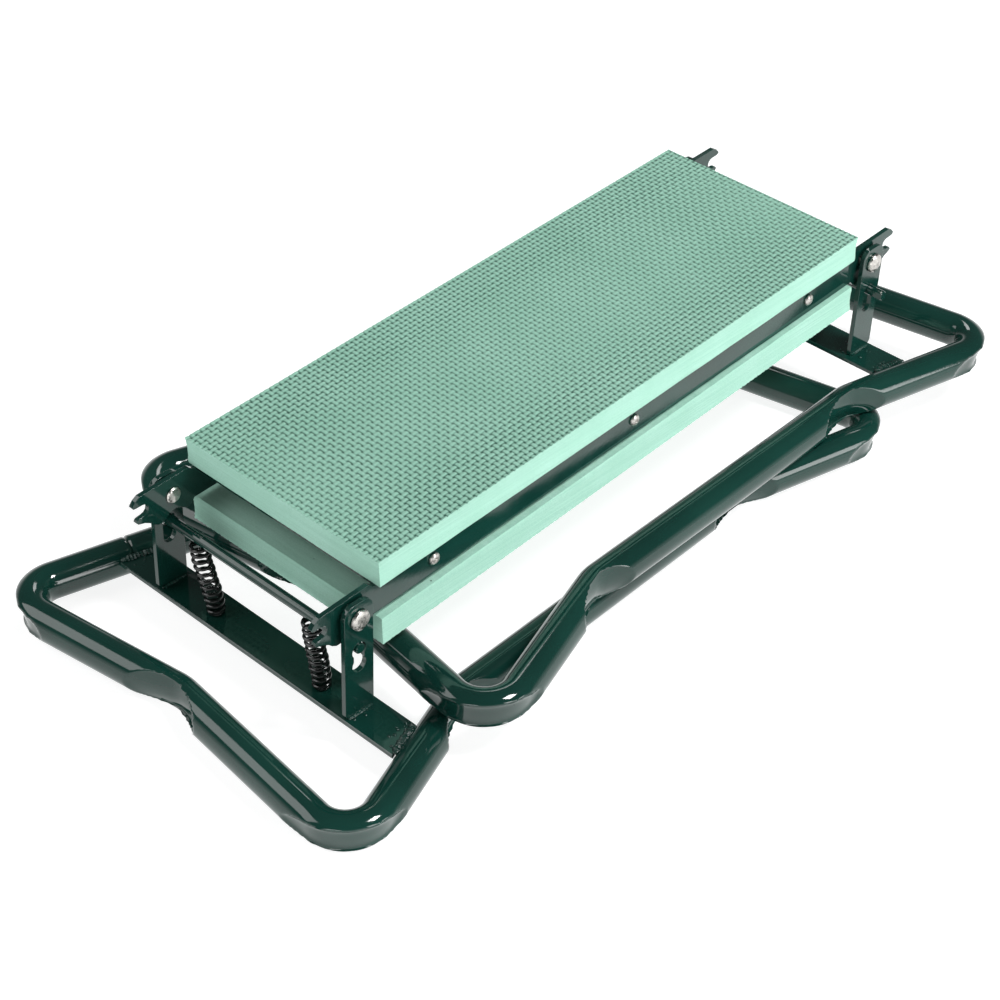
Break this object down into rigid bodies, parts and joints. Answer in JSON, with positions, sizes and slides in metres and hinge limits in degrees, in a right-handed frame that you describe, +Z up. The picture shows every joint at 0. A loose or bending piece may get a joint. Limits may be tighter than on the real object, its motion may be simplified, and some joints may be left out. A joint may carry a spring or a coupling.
{
  "type": "garden kneeler seat",
  "caption": "Two-sided padded garden kneeler and stool that folds flat, with looped tube legs on riveted pivots and spring-loaded release rods.",
  "frame": {"origin": "middle of the folded outline, on the ground", "axes": "+X along the seat towards the upper leg's end, +Y towards the back rail, +Z up"},
  "size_m": [0.6019, 0.3172, 0.1286],
  "materials": {
    "green_paint": "dark green gloss powder coat",
    "mint_foam": "mint closed-cell foam, matte, embossed faces and sawn edges",
    "zinc_plate": "zinc plated, satin",
    "black_spring": "black gloss",
    "core_board": "plain board, hidden between the rails"
  },
  "bodies": {
    "seat": {"upper_pad": "mint_foam", "lower_pad": "mint_foam", "upper_plate": "green_paint", "lower_plate": "green_paint", "core_board": "core_board", "front_rail": "green_paint", "back_rail": "green_paint", "front_screw_left": "zinc_plate", "front_screw_middle": "zinc_plate", "front_screw_right": "zinc_plate", "back_screw_left": "zinc_plate", "back_screw_middle": "zinc_plate", "back_screw_right": "zinc_plate"},
    "left_leg": {"left_loop": "green_paint", "left_cross_plate": "green_paint", "left_front_upright": "green_paint", "left_front_rivet": "zinc_plate", "left_front_washer": "zinc_plate", "left_front_spring": "black_spring", "left_back_upright": "green_paint", "left_back_rivet": "zinc_plate", "left_back_washer": "zinc_plate", "left_back_spring": "black_spring"},
    "left_rod": {"left_rod": "green_paint"},
    "right_leg": {"right_loop": "green_paint", "right_cross_plate": "green_paint", "right_front_upright": "green_paint", "right_front_rivet": "zinc_plate", "right_front_washer": "zinc_plate", "right_front_spring": "black_spring", "right_back_upright": "green_paint", "right_back_rivet": "zinc_plate", "right_back_washer": "zinc_plate", "right_back_spring": "black_spring"},
    "right_rod": {"right_rod": "green_paint"}
  },
  "joints": [
    {"name": "left_leg_fold", "type": "hinge", "parent": "seat", "child": "left_leg", "pos_m": [-0.22212, -0.01006, 0.0814], "axis": [0, 1, 0], "range_deg": [0, 87.15]},
    {"name": "left_rod_drop", "type": "slide", "parent": "left_leg", "child": "left_rod", "axis": [0, 0, -1], "range_m": [0, 0.0126], "deforming": ["left_front_spring", "left_back_spring"]},
    {"name": "right_leg_fold", "type": "hinge", "parent": "seat", "child": "right_leg", "pos_m": [0.21894, -0.01006, 0.1033], "axis": [0, -1, 0], "range_deg": [-1.2, 0]},
    {"name": "right_rod_drop", "type": "slide", "parent": "right_leg", "child": "right_rod", "axis": [0, 0, -1], "range_m": [0, 0.0126], "stiffness_N_per_m": 800, "springref_m": -0.005, "deforming": ["right_front_spring", "right_back_spring"]}
  ],
  "couplings": [
    {"joint": "left_rod_drop", "follows": "left_leg_fold", "m_per_rad": 0.00828}
  ]
}
